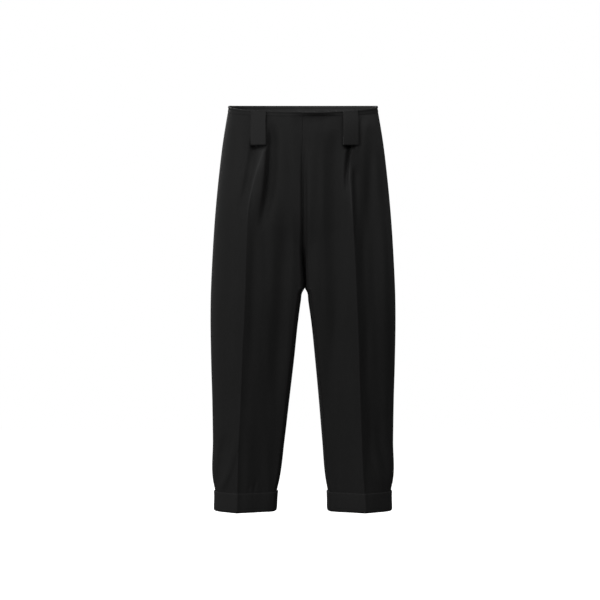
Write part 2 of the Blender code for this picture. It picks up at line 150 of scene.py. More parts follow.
LEG = table(
    "drop front back inner_front inner_back corner_front corner_back outer",
    (0.085, 0.1060, 0.1340, 0.97, 0.92, 0.006, 0.030, 2.8),
    (0.200, 0.1040, 0.1330, 0.95, 0.90, 0.006, 0.030, 3.0),
    (0.270, 0.1000, 0.1270, 0.93, 0.87, 0.007, 0.032, 3.0),
    (0.346, 0.0930, 0.1110, 0.90, 0.83, 0.008, 0.034, 3.0),
    (0.450, 0.0740, 0.0850, 0.86, 0.78, 0.008, 0.030, 2.9),
    (0.560, 0.0550, 0.0640, 0.80, 0.72, 0.008, 0.028, 2.8),
    (0.670, 0.0420, 0.0500, 0.76, 0.68, 0.007, 0.026, 2.7),
    (0.767, 0.0360, 0.0430, 0.75, 0.66, 0.007, 0.024, 2.6),
)
CREASE = table(
    "drop front_right front_left back",
    (0.000, 0.0810, 0.0865, 0.0820),
    (0.085, 0.0730, 0.0870, 0.0860),
    (0.139, 0.0877, 0.0862, 0.0890),
    (0.194, 0.0995, 0.0897, 0.0920),
    (0.259, 0.1035, 0.0937, 0.0960),
    (0.346, 0.1062, 0.0982, 0.0990),
    (0.450, 0.1113, 0.1030, 0.1040),
    (0.560, 0.1162, 0.1068, 0.1090),
    (0.670, 0.1213, 0.1112, 0.1140),
    (0.767, 0.1236, 0.1172, 0.1170),
)
ROOF = table(
    "drop front back spread pinch_front pinch_back",
    (0.085, 0.0040, 0.0000, 0.030, 0.0006, 0.0000),
    (0.140, 0.0045, 0.0000, 0.030, 0.0016, 0.0000),
    (0.200, 0.0050, 0.0000, 0.030, 0.0020, 0.0000),
    (0.270, 0.0058, 0.0015, 0.032, 0.0018, 0.0002),
    (0.346, 0.0070, 0.0040, 0.036, 0.0018, 0.0006),
    (0.450, 0.0110, 0.0080, 0.050, 0.0018, 0.0010),
    (0.560, 0.0160, 0.0120, 0.065, 0.0018, 0.0012),
    (0.767, 0.0200, 0.0150, 0.070, 0.0018, 0.0012),
)

# %% [markdown]
# ## Folds
# Tailored cloth does not wrinkle at random. It folds where it was pleated, where it bridges between two
# high places, and where it meets something stiff such as a turn-up. So each fold is listed: one row
# says where its line runs, how wide each flank is, and how deep it sinks. A negative depth is a ridge.

# %% Table of folds
# Columns: the panel, the drops between which the fold runs and over which its ends fade, its line's reach
# at the top, in the middle and at the end, the widths of its flank away from the middle seam and towards
# it, and its depth.
FOLDS = table(
    "side face top end fade_in fade_out reach_top reach_middle reach_end out into depth",
    # right front: below the band, the pleat's inner and outer edge and the ridge between, the pocket that
    # it opens behind the loop's end, the middle seam, hip, thigh, beside the crease, and five above the
    # turn-up
    (RIGHT, FRONT, 0.003, 0.050, 0.010, 0.035, -0.0300, -0.0300, -0.0300, 0.055, 0.050, 0.0065),
    (RIGHT, FRONT, 0.015, 0.250, 0.06, 0.08, 0.0590, 0.0622, 0.0800, 0.009, 0.020, 0.0105),
    (RIGHT, FRONT, 0.055, 0.225, 0.03, 0.08, 0.0860, 0.0985, 0.1180, 0.013, 0.009, 0.0070),
    (RIGHT, FRONT, 0.070, 0.230, 0.02, 0.07, 0.0700, 0.0745, 0.0870, 0.018, 0.007, -0.0050),
    (RIGHT, FRONT, 0.056, 0.0900, 0.018, 0.008, 0.0815, 0.0815, 0.0815, 0.018, 0.018, 0.0160),
    (RIGHT, FRONT, 0.040, 0.335, 0.15, 0.06, -0.0006, -0.0022, -0.0026, 0.0085, 0.0085, 0.0090),
    (RIGHT, FRONT, 0.030, 0.190, 0.04, 0.08, 0.1230, 0.1270, 0.1330, 0.012, 0.014, 0.0022),
    (RIGHT, FRONT, 0.160, 0.600, 0.14, 0.16, 0.0300, 0.0390, 0.0560, 0.022, 0.017, 0.0060),
    (RIGHT, FRONT, 0.180, 0.600, 0.10, 0.20, 0.0850, 0.0920, 0.0990, 0.013, 0.014, 0.0030),
    (RIGHT, FRONT, 0.610, 0.738, 0.05, 0.04, 0.1250, 0.1345, 0.1600, 0.010, 0.010, -0.0030),
    (RIGHT, FRONT, 0.615, 0.736, 0.04, 0.03, 0.1480, 0.1560, 0.1680, 0.009, 0.014, 0.0034),
    (RIGHT, FRONT, 0.696, 0.742, 0.025, 0.006, 0.0860, 0.0905, 0.0950, 0.004, 0.004, 0.0020),
    (RIGHT, FRONT, 0.704, 0.742, 0.02, 0.006, 0.0990, 0.1010, 0.1040, 0.004, 0.005, 0.0015),
    (RIGHT, FRONT, 0.700, 0.742, 0.025, 0.006, 0.0720, 0.0700, 0.0665, 0.004, 0.004, 0.0013),
    # left front: below the band, the pleat, its pocket and the groove beside its edge, the middle seam, the
    # hip, the swellings beside the loop and towards the side, thigh, beside the crease, above the turn-up
    (LEFT, FRONT, 0.003, 0.050, 0.010, 0.035, 0.0300, 0.0300, 0.0300, 0.050, 0.055, 0.0065),
    (LEFT, FRONT, 0.050, 0.185, 0.03, 0.08, 0.0915, 0.0815, 0.0790, 0.005, 0.006, 0.0110),
    (LEFT, FRONT, 0.056, 0.0895, 0.018, 0.010, 0.0855, 0.0855, 0.0855, 0.016, 0.015, 0.0120),
    (LEFT, FRONT, 0.116, 0.300, 0.03, 0.12, 0.0938, 0.0955, 0.1010, 0.012, 0.0045, 0.0045),
    (LEFT, FRONT, 0.040, 0.335, 0.15, 0.06, 0.0006, 0.0022, 0.0026, 0.0090, 0.0085, 0.0090),
    (LEFT, FRONT, 0.020, 0.260, 0.04, 0.10, 0.1230, 0.1240, 0.1260, 0.016, 0.014, 0.0036),
    (LEFT, FRONT, 0.0085, 0.130, 0.030, 0.09, 0.1220, 0.1220, 0.1220, 0.028, 0.018, -0.0085),
    (LEFT, FRONT, 0.050, 0.560, 0.08, 0.22, 0.1540, 0.1640, 0.1660, 0.014, 0.034, -0.0080),
    (LEFT, FRONT, 0.035, 0.560, 0.06, 0.22, 0.0560, 0.0580, 0.0720, 0.020, 0.022, 0.0065),
    (LEFT, FRONT, 0.110, 0.760, 0.16, 0.16, 0.1080, 0.1210, 0.1320, 0.040, 0.020, 0.0090),
    (LEFT, FRONT, 0.560, 0.742, 0.08, 0.05, 0.1400, 0.1480, 0.1660, 0.016, 0.014, 0.0030),
    (LEFT, FRONT, 0.630, 0.738, 0.05, 0.04, 0.1280, 0.1440, 0.1600, 0.012, 0.012, -0.0018),
    # the backs: below the seat, down the thigh, and slanting above the turn-up
    (RIGHT, BACK, 0.240, 0.470, 0.06, 0.14, 0.0180, 0.0380, 0.0740, 0.020, 0.016, 0.0052),
    (RIGHT, BACK, 0.290, 0.560, 0.08, 0.16, 0.1290, 0.1330, 0.1400, 0.016, 0.020, 0.0038),
    (RIGHT, BACK, 0.320, 0.660, 0.06, 0.14, 0.0480, 0.0560, 0.0800, 0.016, 0.014, 0.0034),
    (RIGHT, BACK, 0.600, 0.748, 0.05, 0.04, 0.0880, 0.0760, 0.0620, 0.012, 0.010, 0.0024),
    (LEFT, BACK, 0.230, 0.450, 0.06, 0.12, 0.0200, 0.0440, 0.0800, 0.018, 0.016, 0.0046),
    (LEFT, BACK, 0.300, 0.600, 0.08, 0.18, 0.1330, 0.1350, 0.1410, 0.018, 0.018, 0.0042),
    (LEFT, BACK, 0.350, 0.700, 0.06, 0.14, 0.0520, 0.0620, 0.0840, 0.014, 0.016, 0.0030),
    (LEFT, BACK, 0.610, 0.748, 0.05, 0.04, 0.1300, 0.1420, 0.1560, 0.010, 0.012, -0.0022),
)


def fold_depth(side, face, reach, drop):
    """How far the folds of one panel sink into it. A fold's line is the parabola through its three reaches.
    Across the line the fold is the bump (1 - a^2)^2 of the share a of its flank, and along it both ends
    fade."""
    total = np.zeros(np.broadcast(reach, drop).shape)
    for i in np.flatnonzero((FOLDS["side"] == side) & (FOLDS["face"] == face)):
        fold = {name: values[i] for name, values in FOLDS.items()}
        t = np.clip((drop - fold["top"]) / (fold["end"] - fold["top"]), 0, 1)
        line = (
            (1 - t) * (1 - 2 * t) * fold["reach_top"]
            + 4 * t * (1 - t) * fold["reach_middle"]
            + t * (2 * t - 1) * fold["reach_end"]
        )
        away = reach - line
        across = np.clip(away / np.where(away > 0, fold["out"], fold["into"]), -1, 1)
        fade = eased((drop - fold["top"]) / fold["fade_in"]) * eased((fold["end"] - drop) / fold["fade_out"])
        total += fold["depth"] * (1 - across**2) ** 2 * fade
    stiff = 1 - TURN_UP_STIFFENS * eased((drop - TURN_UP_TOP) / STIFFENS_ABOVE + 1)
    return total * stiff


# Table of the slack: long, shallow waves that hang down the panels. across and along are their lengths in
# metres.
SLACK = table(
    "across along lean phase height",
    (0.031, 0.43, 1.3, 0.15, 0.00055),
    (0.047, 0.61, -0.9, 0.60, 0.00070),
    (0.019, 0.29, 0.6, 0.35, 0.00022),
)
LEFT_SHIFT, BACK_SHIFT = 0.37, 0.21  # shares of a turn


def slack(side, face, reach, drop):
    """The sum of the slack's waves: height sin(2 pi (reach/across + lean drop + phase)) sin(2 pi
    (drop/along + phase)). Each panel shifts the phases by its own share of a turn, so that no two panels
    match."""
    shift = LEFT_SHIFT * (side == LEFT) + BACK_SHIFT * (face == BACK)
    total = 0
    for across, along, lean, phase, height in zip(*SLACK.values()):
        sideways = np.sin(2 * np.pi * (reach / across + lean * drop + phase + shift))
        total = total + height * sideways * np.sin(2 * np.pi * (drop / along + phase + shift))
    return total


# %% [markdown]
# ## The surface of a panel
# High up the trousers are one tube, and below the crotch they are two. Between, the cloth bridges from leg
# to leg: it lies on the two thighs and spans the gap between them, and the span comes in like a J as it
# nears the crotch. Taking the larger of the two depths, with the corner rounded, gives that without any
# modelling by hand.

# %% Depth of the cloth
def edges(side, drop):
    """The reach of a panel's side seam, and of its inner edge: the middle seam, or the inseam on a leg."""
    inner = side * follow(OUTLINE, "middle", drop) + follow(OUTLINE, "gap", np.maximum(drop, CROTCH))
    return follow(OUTLINE, "outer", drop), inner


def bulge(share, square):
    """A superellipse's depth as a share of its middle depth: (1 - |share|^square)^(1/square)."""
    return (1 - np.clip(np.abs(share), 0, 1) ** square) ** (1 / square)


def crease_reach(side, face, drop):
    """The reach of the pressed crease of one panel."""
    return follow(CREASE, "back" if face == BACK else "front_" + SIDE_NAMES[side], drop)


def seam_depth(face, drop):
    """The depth of the middle seam: the hips' depth, bent in below FORK_TOP like a J that ends at the
    crotch."""
    share, power = np.clip((drop - FORK_TOP[face]) / (CROTCH - FORK_TOP[face]), 0, 1), FORK_POWER[face]
    return follow(HIPS, FACE_NAMES[face], drop) * (1 - share**power) ** (1 / power)


def smooth_larger(a, b, rounding):
    """The larger of two depths. Where they are nearer than rounding, a parabola rounds off the corner."""
    near = np.clip(1 - np.abs(a - b) / np.maximum(rounding, 1e-9), 0, 1)
    return np.maximum(a, b) + near**2 * rounding / 4


def crease_sets(side, face, drop):
    """How sharp a crease is: nothing where a front one leaves its pleat, and fully sharp a little further
    down."""
    return eased((drop - CREASE_SETS[side]) / CREASE_SETTLES) if face == FRONT else 1


def crease_roof(side, face, reach, drop):
    """The pressed crease: a roof of power 1.3 that fades out at its spread or at the panel's edge, and on
    its ridge the pinch that the iron has set. The creases lean over to the wearer's left, so the pinch dies
    away within a few millimetres on that side and slowly on the other. The tip is rounded to half a
    millimetre."""
    outer, inner = edges(side, drop)
    away = reach - crease_reach(side, face, drop)
    limit = np.where(away > 0, outer - reach + away, reach - away - inner)
    spread = np.minimum(follow(ROOF, "spread", drop), np.maximum(limit, LEAST_SPREAD))
    distance = np.sqrt(away**2 + CREASE_TIP**2) - CREASE_TIP
    starts = eased((drop - ROOF["drop"][0]) / FRONT_CREASE_OPENS) if face == FRONT else 1
    roof = follow(ROOF, FACE_NAMES[face], drop) * np.clip(1 - distance / spread, 0, 1) ** ROOF_POWER
    fade = np.where(side * away > 0, PINCH_STEEP, PINCH_SLOW)
    height = follow(ROOF, "pinch_" + FACE_NAMES[face], drop) * crease_sets(side, face, drop)
    pinch = height * np.exp(-distance / fade)
    return starts * (roof + pinch * eased(spread / PINCH_SLOW - 1))


def leg_section(side, face, reach, drop):
    """One leg's depth about its own middle. The outer half is a superellipse. The inner half falls off as a
    parabola and ends in a quarter of an ellipse at the inseam, because the two thighs hang flat beside each
    other."""
    name = FACE_NAMES[face]
    outer, inner = edges(side, drop)
    slow_inner = side * follow(OUTLINE, "middle", drop) + GAP_OPENS * np.maximum(drop - CROTCH, 0)
    centre = (outer + slow_inner) / 2
    within = reach < centre
    share = np.where(within, (centre - reach) / (centre - slow_inner), (reach - centre) / (outer - centre))
    from_edge = np.clip((reach - inner) / follow(LEG, "corner_" + name, drop), 0, 1)
    corner = np.sqrt(1 - (1 - from_edge) ** 2)
    inner_half = (1 - (1 - follow(LEG, "inner_" + name, drop)) * share**2) * corner
    outer_half = bulge(share, follow(LEG, "outer", drop))
    return follow(LEG, name, drop) * np.where(within, inner_half, outer_half)


def hips_section(side, face, reach, drop):
    """The hips' depth: one superellipse from the middle seam to the side seam."""
    outer, inner = edges(side, drop)
    square = follow(HIPS, "square_" + FACE_NAMES[face], drop)
    return follow(HIPS, FACE_NAMES[face], drop) * bulge((reach - inner) / (outer - inner), square)


def depth_at(side, face, reach, drop):
    """How far the cloth stands in front of the side seams, or behind them: the hips' section above, the
    leg's section and the bridge between the legs below, the crease on top, and less the folds."""
    name = FACE_NAMES[face]
    outer, inner = edges(side, drop)
    hips = hips_section(side, face, reach, drop)
    leg, seam = leg_section(side, face, reach, drop), seam_depth(face, drop)
    inward = eased(1 - 2 * (reach - inner) / (outer - inner))
    crown = follow(LEG, name, drop)
    bridge = np.where(seam > crown, crown + (seam - crown) * inward, seam)
    rounding = BRIDGE_ROUNDING[face] * eased(2 * inward) * np.clip(seam / BRIDGE_ROUNDING[face], 0, 1)
    split = np.where(inward > 0, smooth_larger(leg, bridge, rounding), leg)
    legs = eased((drop - LEG_STARTS) / (LEG_WHOLE - LEG_STARTS))
    near_edge = np.minimum(outer - reach, np.where(drop < CROTCH, 1, reach - inner))
    sunk = fold_depth(side, face, reach, drop) + slack(side, face, reach, drop)
    folds = sunk * eased(near_edge / FOLD_MARGIN)
    return (1 - legs) * hips + legs * split + crease_roof(side, face, reach, drop) - folds


def waist_slope(y, drop):
    """How much higher than its drop a point lies, because the waistline dips at the front and rises at the
    back."""
    fade = np.clip(1 - drop / WAIST_SLOPE_ENDS, 0, 1) ** 2
    return fade * np.where(y < 0, WAIST_FRONT_DIP, WAIST_BACK_RISE) * y / WAIST_DEPTH


def place(side, face, reach, drop):
    """The points of one panel's outer face at these reaches and drops."""
    y = face * depth_at(side, face, reach, drop)
    return np.stack(np.broadcast_arrays(side * reach, y, -drop + waist_slope(y, drop)), axis=-1)


# %% [markdown]
# ## From a grid to a mesh
# A grid of points becomes a mesh of quads. The UV map is measured on the cloth itself, in metres: V runs
# down the panel, and U runs across it from the crease, which a cutter lays on the straight grain. The weave
# can then follow the cloth round every curve at its true size.

# %% Mesh helpers
def unit(vectors):
    """Each vector divided by its length."""
    return vectors / np.maximum(np.linalg.norm(vectors, axis=-1, keepdims=True), 1e-12)


def outward(points, sign):
    """The unit normal of each grid point: the cross product of the steps down and across, turned by sign."""
    return unit(np.cross(np.gradient(points, axis=0), np.gradient(points, axis=1)) * sign)


def cloth_coordinates(points, crease_column):
    """U and V in metres: distances added up along each row from the crease column, and down the columns'
    mean."""
    across = np.linalg.norm(np.diff(points, axis=1), axis=-1)
    u = np.concatenate([np.zeros((len(points), 1)), np.cumsum(across, axis=1)], axis=1)
    down = np.linalg.norm(np.diff(points, axis=0), axis=-1).mean(axis=1)
    v = np.concatenate([[0], np.cumsum(down)])
    return u - u[:, [crease_column]], np.broadcast_to(v[:, None], u.shape)


def grid_faces(rows, columns, wrapped=False):
    """The quads of a grid as vertex numbers. A wrapped grid joins its last row and column to its first."""
    index = np.arange(rows * columns).reshape(rows, columns)
    if wrapped:
        index = np.pad(index, (0, 1), mode="wrap")
    return np.stack([index[:-1, :-1], index[1:, :-1], index[1:, 1:], index[:-1, 1:]], axis=-1).reshape(-1, 4)


def mesh_object(name, points, faces, material, u=None, v=None, pressed=None, wrong=None):
    """A mesh from flat arrays, smooth-shaded, with an optional UV map and attributes that its material may
    read."""
    points = np.ascontiguousarray(points.reshape(-1, 3), np.float32)
    faces = np.ascontiguousarray(faces, np.int32)
    mesh = bpy.data.meshes.new(name)
    mesh.vertices.add(len(points))
    mesh.vertices.foreach_set("co", points.ravel())
    mesh.loops.add(faces.size)
    mesh.loops.foreach_set("vertex_index", faces.ravel())
    mesh.polygons.add(len(faces))
    mesh.polygons.foreach_set("loop_start", np.arange(0, faces.size, 4, dtype=np.int32))
    mesh.update(calc_edges=True)
    mesh.validate()
    if u is not None:
        layer = mesh.uv_layers.new(name="cloth")
        uv = np.stack([np.asarray(u).ravel(), np.asarray(v).ravel()], axis=-1)[faces.ravel()]
        layer.uv.foreach_set("vector", np.ascontiguousarray(uv, np.float32).ravel())
    for label, values in {"pressed": pressed, "wrong_side": wrong}.items():
        if values is not None:
            layer = mesh.attributes.new(label, "FLOAT", "POINT")
            layer.data.foreach_set("value", np.ascontiguousarray(values, np.float32).ravel())
    mesh.shade_smooth()
    mesh.materials.append(material)
    piece = bpy.data.objects.new(name, mesh)
    bpy.context.scene.collection.objects.link(piece)
    return piece


def shell(name, outer, inner, u, v, pressed, material, sign):
    """A closed wall of cloth: an outer grid, an inner grid turned the other way, and rims along all four
    edges."""
    rows, columns = outer.shape[:2]
    faces = grid_faces(rows, columns)
    count = rows * columns
    index = np.arange(count).reshape(rows, columns)
    rim = np.concatenate([index[0, :-1], index[:-1, -1], index[-1, :0:-1], index[:0:-1, 0]])
    after = np.roll(rim, -1)
    walls = np.stack([rim, after, after + count, rim + count], axis=-1)
    both = np.concatenate([faces, faces[:, ::-1] + count, walls])
    both = both if sign > 0 else both[:, ::-1]
    twice = [np.tile(np.ravel(values), 2) for values in (u, v, np.broadcast_to(pressed, u.shape))]
    points = np.concatenate([outer.reshape(-1, 3), inner.reshape(-1, 3)])
    wrong = np.repeat([0.0, 1.0], count)
    return mesh_object(name, points, both, material, *twice, wrong)


def face_area(outer):
    """The area of a grid of points: half the cross product of each cell's diagonals, added up."""
    diagonals = np.cross(outer[1:, 1:] - outer[:-1, :-1], outer[1:, :-1] - outer[:-1, 1:])
    return 0.5 * np.linalg.norm(diagonals, axis=-1).sum()


cuts = []  # each piece with the width, length and area of its cut, how it is held, and by what


def declare(piece, area, size, node, held, under):
    """Puts a piece in the place of a node of the solid model, and keeps its cut."""
    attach(piece, "root")
    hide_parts(node)
    cuts.append((piece, *size, area, held, under))
    triangles = 2 * len(piece.data.polygons)
    print(f"{piece.name}: {triangles} triangles, {size[0]:.3f} x {size[1]:.4f} m, {area:.5f} square metres")


# %% [markdown]
# ## Black suiting
# The cloth is a matt black crepe: fine hard-twisted yarns in a plain weave, with a pebbled surface that
# kills most of the shine. Black cloth is never a flat black. It reflects a little over one per cent of the
# light, a faint sheen from its nap shows where it turns away, and pressed edges are a touch smoother.
# Along creases, fold edges and a few patches the colour is also lighter: a painted highlight. The relief
# and the tone are shader node groups, so that every material can place them with its own values.

# %% Node groups
YARN_WANDER = 2.2  # how far the noise shifts the weave's phase, in radians
CLOUD_SPAN = 0.24  # how far the tone ranges in all


def new_group(name, inputs, outputs):
    """A shader node group with float or vector sockets, made from {name: (type, default)}."""
    group = bpy.data.node_groups.new(name, "ShaderNodeTree")
    for label, (kind, default) in inputs.items():
        socket = group.interface.new_socket(label, in_out="INPUT", socket_type=kind)
        if default is not None:
            socket.default_value = default
    for label, kind in outputs.items():
        group.interface.new_socket(label, in_out="OUTPUT", socket_type=kind)
    return group, group.nodes.new("NodeGroupInput"), group.nodes.new("NodeGroupOutput")


def math_node(tree, operation, *values):
    """One Math node, whose inputs are sockets or numbers."""
    node = tree.nodes.new("ShaderNodeMath")
    node.operation = operation
    for socket, value in zip(node.inputs, values):
        if isinstance(value, (int, float)):
            socket.default_value = value
        else:
            tree.links.new(value, socket)
    return node.outputs[0]


def weave_height(group, vector, per_metre):
    """Plain weave: the product of a sine along U and a sine along V is high where a warp yarn crosses over
    and low where a weft yarn does. Each yarn is rounded by the sines' own shape, and noise makes the yarns
    uneven."""
    split = group.nodes.new("ShaderNodeSeparateXYZ")
    noise = group.nodes.new("ShaderNodeTexNoise")
    noise.inputs["Scale"].default_value = 260.0
    noise.inputs["Detail"].default_value = 2.0
    group.links.new(vector, split.inputs[0])
    group.links.new(vector, noise.inputs["Vector"])
    turn = math_node(group, "MULTIPLY", per_metre, math.pi)
    wander = math_node(group, "MULTIPLY", noise.outputs["Fac"], YARN_WANDER)
    waves = []
    for axis in (0, 1):
        phase = math_node(group, "MULTIPLY", split.outputs[axis], turn)
        waves.append(math_node(group, "SINE", math_node(group, "ADD", phase, wander)))
    return math_node(group, "MULTIPLY", *waves)


def crepe_group():
    """Height = half the weave, plus a pebble of noise whose grains are about a millimetre wide."""
    group, start, end = new_group(
        "crepe",
        {
            "Vector": ("NodeSocketVector", None),
            "Yarns per metre": ("NodeSocketFloat", 1800.0),
            "Pebble": ("NodeSocketFloat", 1.0),
        },
        {"Height": "NodeSocketFloat"},
    )
    over = weave_height(group, start.outputs["Vector"], start.outputs["Yarns per metre"])
    grain = group.nodes.new("ShaderNodeTexNoise")
    grain.inputs["Scale"].default_value = 900.0
    grain.inputs["Detail"].default_value = 3.0
    group.links.new(start.outputs["Vector"], grain.inputs["Vector"])
    pebble = math_node(group, "MULTIPLY", grain.outputs["Fac"], start.outputs["Pebble"])
    height = math_node(group, "ADD", math_node(group, "MULTIPLY", over, 0.5), pebble)
    group.links.new(height, end.inputs["Height"])
    return group


def tone_group():
    """The colour of the cloth: it wanders by an eighth in clouds a hand wide, is lighter on the wrong side
    of the cloth, and lighter again where the pressed attribute paints a highlight."""
    group, start, end = new_group(
        "suiting_tone_and_painted_highlight",
        {
            "Vector": ("NodeSocketVector", None),
            "Right side": ("NodeSocketColor", (0.0124, 0.0124, 0.0124, 1)),
            "Wrong side": ("NodeSocketColor", (0.0300, 0.0300, 0.0300, 1)),
            # Pressed is the colour of the painted highlight on creases, edges and patches
            "Pressed": ("NodeSocketColor", (0.0210, 0.0210, 0.0210, 1)),
            "On wrong side": ("NodeSocketFloat", 0.0),
            "Painted highlight": ("NodeSocketFloat", 0.0),
        },
        {"Color": "NodeSocketColor"},
    )
    cloudy = group.nodes.new("ShaderNodeTexNoise")
    cloudy.inputs["Scale"].default_value = 9.0
    cloudy.inputs["Detail"].default_value = 4.0
    group.links.new(start.outputs["Vector"], cloudy.inputs["Vector"])
    clouds = math_node(group, "MULTIPLY", cloudy.outputs["Fac"], CLOUD_SPAN)
    wander = math_node(group, "ADD", clouds, 1 - CLOUD_SPAN / 2)
    colour = start.outputs["Right side"]
    for share, other in (("On wrong side", "Wrong side"), ("Painted highlight", "Pressed")):
        mix = group.nodes.new("ShaderNodeMix")
        mix.data_type = "RGBA"
        group.links.new(start.outputs[share], mix.inputs["Factor"])
        group.links.new(colour, mix.inputs["A"])
        group.links.new(start.outputs[other], mix.inputs["B"])
        colour = mix.outputs["Result"]
    scale = group.nodes.new("ShaderNodeVectorMath")
    scale.operation = "SCALE"
    group.links.new(colour, scale.inputs["Vector"])
    group.links.new(wander, scale.inputs["Scale"])
    group.links.new(scale.outputs["Vector"], end.inputs["Color"])
    return group


CREPE, TONE = crepe_group(), tone_group()
print("node groups:", [g.name for g in bpy.data.node_groups])


# %% The suiting material
SMOOTHED = 0.15  # how much less rough the cloth is where it is pressed


def suiting(name, yarns_per_metre, roughness):
    """Black crepe for one part of the garment, with the two groups feeding a Principled shader."""
    material = bpy.data.materials.new(name)
    material.use_nodes = True
    tree = material.node_tree
    shader = tree.nodes["Principled BSDF"]
    uv = tree.nodes.new("ShaderNodeUVMap")
    uv.uv_map = "cloth"
    where = tree.nodes.new("ShaderNodeTexCoord")
    shares = {}
    for label in ("wrong_side", "pressed"):
        shares[label] = tree.nodes.new("ShaderNodeAttribute")
        shares[label].attribute_name = label
    tone = tree.nodes.new("ShaderNodeGroup")
    tone.node_tree = TONE
    tree.links.new(where.outputs["Object"], tone.inputs["Vector"])
    tree.links.new(shares["wrong_side"].outputs["Fac"], tone.inputs["On wrong side"])
    # The pressed attribute paints a highlight: it lightens the colour, as well as lowering the roughness
    # below.
    tree.links.new(shares["pressed"].outputs["Fac"], tone.inputs["Painted highlight"])
    tree.links.new(tone.outputs["Color"], shader.inputs["Base Color"])
    crepe = tree.nodes.new("ShaderNodeGroup")
    crepe.node_tree = CREPE
    crepe.inputs["Yarns per metre"].default_value = yarns_per_metre
    tree.links.new(uv.outputs["UV"], crepe.inputs["Vector"])
    bump = tree.nodes.new("ShaderNodeBump")
    bump.inputs["Strength"].default_value = 0.35
    bump.inputs["Distance"].default_value = 0.0001
    tree.links.new(crepe.outputs["Height"], bump.inputs["Height"])
    tree.links.new(bump.outputs["Normal"], shader.inputs["Normal"])
    smoother = math_node(tree, "MULTIPLY_ADD", shares["pressed"].outputs["Fac"], -SMOOTHED, roughness)
    tree.links.new(smoother, shader.inputs["Roughness"])
    shader.inputs["Specular IOR Level"].default_value = 0.12
    shader.inputs["Sheen Weight"].default_value = 0.04
    shader.inputs["Sheen Roughness"].default_value = 0.45
    shader.inputs["Sheen Tint"].default_value = (0.6, 0.6, 0.6, 1)
    return material


BLACK = suiting("black_suiting", 1800.0, 0.82)
DOUBLE = suiting("doubled_suiting", 1850.0, 0.80)  # the same cloth, closer and smoother where it is doubled
print("materials:", BLACK.name, DOUBLE.name)

# %% [markdown]
# ## The four panels
# Each panel is a grid from the band to just above the fold of the turn-up. Rows are packed where the crotch
# seam turns under, and columns are packed at the seams and on both sides of the crease, so that the crease
# keeps a crisp edge.

# %% Panels
BEND_TOP = 0.205
PANEL_TOP = 0.0085  # the panels' upper edge, which is sewn into the waistband
PANEL_CELLS = (42, 46)  # columns from the side seam to the crease, and from there to the inner edge
HIP_ROWS, BEND_ROWS, LEG_ROWS, BEND_PACKING = 75, 66, 150, 0.9
SEAM_ROLL, SEAM_ROLL_WIDTH = 0.0008, 0.0022
BAND_BITES, BITE_ENDS = 0.00015, 0.001  # the band presses a panel in, down to this far below the band
PAINTED_HIGHLIGHT_ENDS = 0.15, 0.25  # a front crease's painted highlight begins as it leaves its pleat, and fades between these drops
PAINTED_CREASE_HIGHLIGHT = (0.6, 0.0016), (0.4, 0.0060)  # the share and half width of the painted highlight's line and glow


def packed(cells):
    """Shares from 0 to 1, packed at both ends: (1 - cos(pi t)) / 2."""
    return (1 - np.cos(np.linspace(0, np.pi, cells + 1))) / 2


def panel_drops():
    """The drops of a panel's rows: even down the hips and the legs, and packed towards the crotch between
    them."""
    hips = np.linspace(PANEL_TOP, BEND_TOP, HIP_ROWS, endpoint=False)
    bend = BEND_TOP + (CROTCH - BEND_TOP) * np.sin(np.linspace(0, np.pi / 2, BEND_ROWS)) ** BEND_PACKING
    legs = np.linspace(CROTCH, SIDE_LENGTH - HEM_TUCK, LEG_ROWS)[1:]
    return np.concatenate([hips, bend, legs])


def panel_reaches(side, face, drops):
    """The reach of every grid point, with the crease on one column."""
    outer, inner = (value[:, None] for value in edges(side, drops))
    crease = crease_reach(side, face, drops)[:, None]
    outside, inside = packed(PANEL_CELLS[0])[None, :], packed(PANEL_CELLS[1])[None, 1:]
    return np.concatenate([outer - (outer - crease) * outside, crease - (crease - inner) * inside], axis=1)


def seam_roll(distance):
    """How far cloth rolls in at a seam: 0.8 mm on the seam itself, and nothing 2.2 mm away from it."""
    return SEAM_ROLL * np.clip(1 - distance / SEAM_ROLL_WIDTH, 0, 1) ** 2


# Painted highlight on the fronts: soft ovals where the colour is lightened for light falling on the swelling
# cloth, and the roughness lowered, as reach and drop, half width and half height, and how strong it is in
# the middle.
PAINTED_HIGHLIGHT_PATCHES = table(
    "side reach drop wide high share",
    (LEFT, 0.122, 0.014, 0.022, 0.024, 0.85),
    (LEFT, 0.135, 0.060, 0.021, 0.046, 0.48),
    (LEFT, 0.156, 0.200, 0.012, 0.120, 0.30),
    (RIGHT, 0.080, 0.100, 0.006, 0.030, 0.25),
)


def painted_highlight_patches(side, face, reach, drop):
    """The sum of exp(-(distance / half size)^2) over the painted highlight patches on one side's front."""
    total = np.zeros(np.broadcast(reach, drop).shape)
    for mark_side, *mark in zip(*PAINTED_HIGHLIGHT_PATCHES.values()):
        if (mark_side, FRONT) == (side, face):
            middle, low, wide, high, share = mark
            total += share * np.exp(-(((reach - middle) / wide) ** 2) - ((drop - low) / high) ** 2)
    return total


